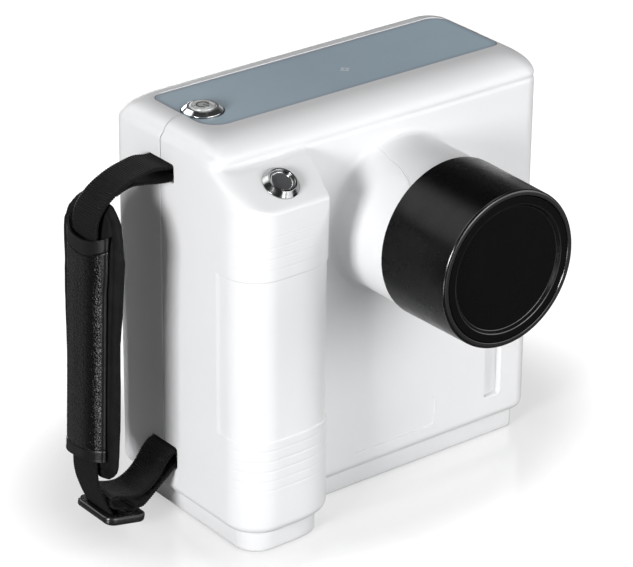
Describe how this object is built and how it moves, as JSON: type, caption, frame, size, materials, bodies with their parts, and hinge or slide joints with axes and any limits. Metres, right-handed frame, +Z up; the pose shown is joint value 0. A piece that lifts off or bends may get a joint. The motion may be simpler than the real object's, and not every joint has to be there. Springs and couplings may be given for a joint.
{
  "type": "portable intraoral dental X-ray unit",
  "caption": "Hand-held intraoral X-ray unit: white two-shell housing with a grip column, sloped exposure button, black beam cone and a padded hand strap.",
  "frame": {"origin": "mouth of the tripod socket at the middle of the underside", "axes": "-Y is where the cone points, +Z is up, the grip column and the hand strap are on the -X side"},
  "size_m": [0.2189, 0.1469, 0.1854],
  "materials": {
    "white_shell": "moulded ABS, glossy white",
    "cone_black": "moulded, glossy black",
    "label_film": "printed polyester film, blue-grey",
    "chrome": "polished",
    "button_grey": "satin dark grey",
    "switch_black": "moulded",
    "lead": "dull lead sheet, lacquered",
    "aluminium": "milled",
    "port_resin": "polycarbonate beam port",
    "glass": "clear borosilicate",
    "copper": "copper, as turned or wound",
    "steel": "zinc plated",
    "core": "ferrite, dark grey",
    "board": "green solder mask",
    "capacitor": "sleeved",
    "battery": "shrink-wrapped cells",
    "window": "dark acrylic",
    "lcd": "metal-framed module",
    "key_blue": "silicone rubber, blue",
    "key_grey": "silicone rubber, light grey",
    "key_amber": "silicone rubber, amber",
    "cable_grey": "PVC ribbon",
    "brass": "turned",
    "webbing": "black nylon, ribbed weave",
    "pad_fabric": "black neoprene-backed leatherette",
    "sleeve_leather": "black, pebbled grain",
    "buckle_plastic": "black acetal"
  },
  "bodies": {
    "housing": {"front_shell": "white_shell", "rear_shell": "white_shell", "base_plinth": "white_shell", "nozzle": "white_shell", "cone_barrel": "cone_black", "cone_window": "cone_black", "cone_lead_liner": "lead", "collimator_disc": "lead", "aluminium_filter": "aluminium", "top_label": "label_film", "power_bezel": "chrome", "power_contacts": "switch_black", "power_nut": "steel", "exposure_bezel": "chrome", "exposure_contacts": "switch_black", "exposure_nut": "steel", "tank": "aluminium", "tank_lid": "aluminium", "tank_window": "port_resin", "tube_glass": "glass", "tube_anode": "copper", "tube_cathode": "steel", "lead_shield": "lead", "transformer_core": "core", "transformer_coils": "copper", "multiplier_board": "board", "multiplier_capacitors": "capacitor", "chassis_plate": "aluminium", "battery_cells": "battery", "battery_tray": "switch_black", "main_board": "board", "board_capacitors": "capacitor", "heatsink": "aluminium", "display_window": "window", "lcd_module": "lcd", "display_board": "board", "tact_switches": "switch_black", "ribbon_cable": "cable_grey", "buzzer": "switch_black", "dc_jack": "switch_black", "tripod_insert": "brass", "base_screws": "steel", "case_screws": "steel", "nozzle_screws": "steel", "strap_pins": "steel", "webbing_ends": "webbing"},
    "power_button": {"power_cap": "chrome"},
    "exposure_button": {"exposure_cap": "button_grey"},
    "key_plus": {"key_plus": "key_blue"},
    "key_minus": {"key_minus": "key_blue"},
    "key_tooth": {"key_tooth": "key_grey"},
    "key_patient": {"key_patient": "key_grey"},
    "key_film": {"key_film": "key_grey"},
    "key_ready": {"key_ready": "key_amber"},
    "strap": {"webbing_upper": "webbing", "webbing_lower": "webbing", "strap_pad": "pad_fabric", "strap_sleeve": "sleeve_leather", "strap_buckle": "buckle_plastic"}
  },
  "joints": [
    {"name": "power_press", "type": "slide", "parent": "housing", "child": "power_button", "axis": [0, 0, -1], "range_m": [0, 0.0015], "stiffness_N_per_m": 900, "springref_m": -0.0012},
    {"name": "exposure_press", "type": "slide", "parent": "housing", "child": "exposure_button", "axis": [0, 0.5105, -0.8599], "range_m": [0, 0.0012], "stiffness_N_per_m": 900, "springref_m": -0.0012},
    {"name": "key_plus_press", "type": "slide", "parent": "housing", "child": "key_plus", "axis": [0, -1, 0], "range_m": [0, 0.0008], "stiffness_N_per_m": 900, "springref_m": -0.001},
    {"name": "key_minus_press", "type": "slide", "parent": "housing", "child": "key_minus", "axis": [0, -1, 0], "range_m": [0, 0.0008], "stiffness_N_per_m": 900, "springref_m": -0.001},
    {"name": "key_tooth_press", "type": "slide", "parent": "housing", "child": "key_tooth", "axis": [0, -1, 0], "range_m": [0, 0.0008], "stiffness_N_per_m": 900, "springref_m": -0.001},
    {"name": "key_patient_press", "type": "slide", "parent": "housing", "child": "key_patient", "axis": [0, -1, 0], "range_m": [0, 0.0008], "stiffness_N_per_m": 900, "springref_m": -0.001},
    {"name": "key_film_press", "type": "slide", "parent": "housing", "child": "key_film", "axis": [0, -1, 0], "range_m": [0, 0.0008], "stiffness_N_per_m": 900, "springref_m": -0.001},
    {"name": "key_ready_press", "type": "slide", "parent": "housing", "child": "key_ready", "axis": [0, -1, 0], "range_m": [0, 0.0008], "stiffness_N_per_m": 900, "springref_m": -0.001},
    {"name": "strap_swing", "type": "hinge", "parent": "housing", "child": "strap", "pos_m": [-0.0965, 0.0014, 0.09], "axis": [0, 0, 1], "range_deg": [-35, 35]}
  ]
}
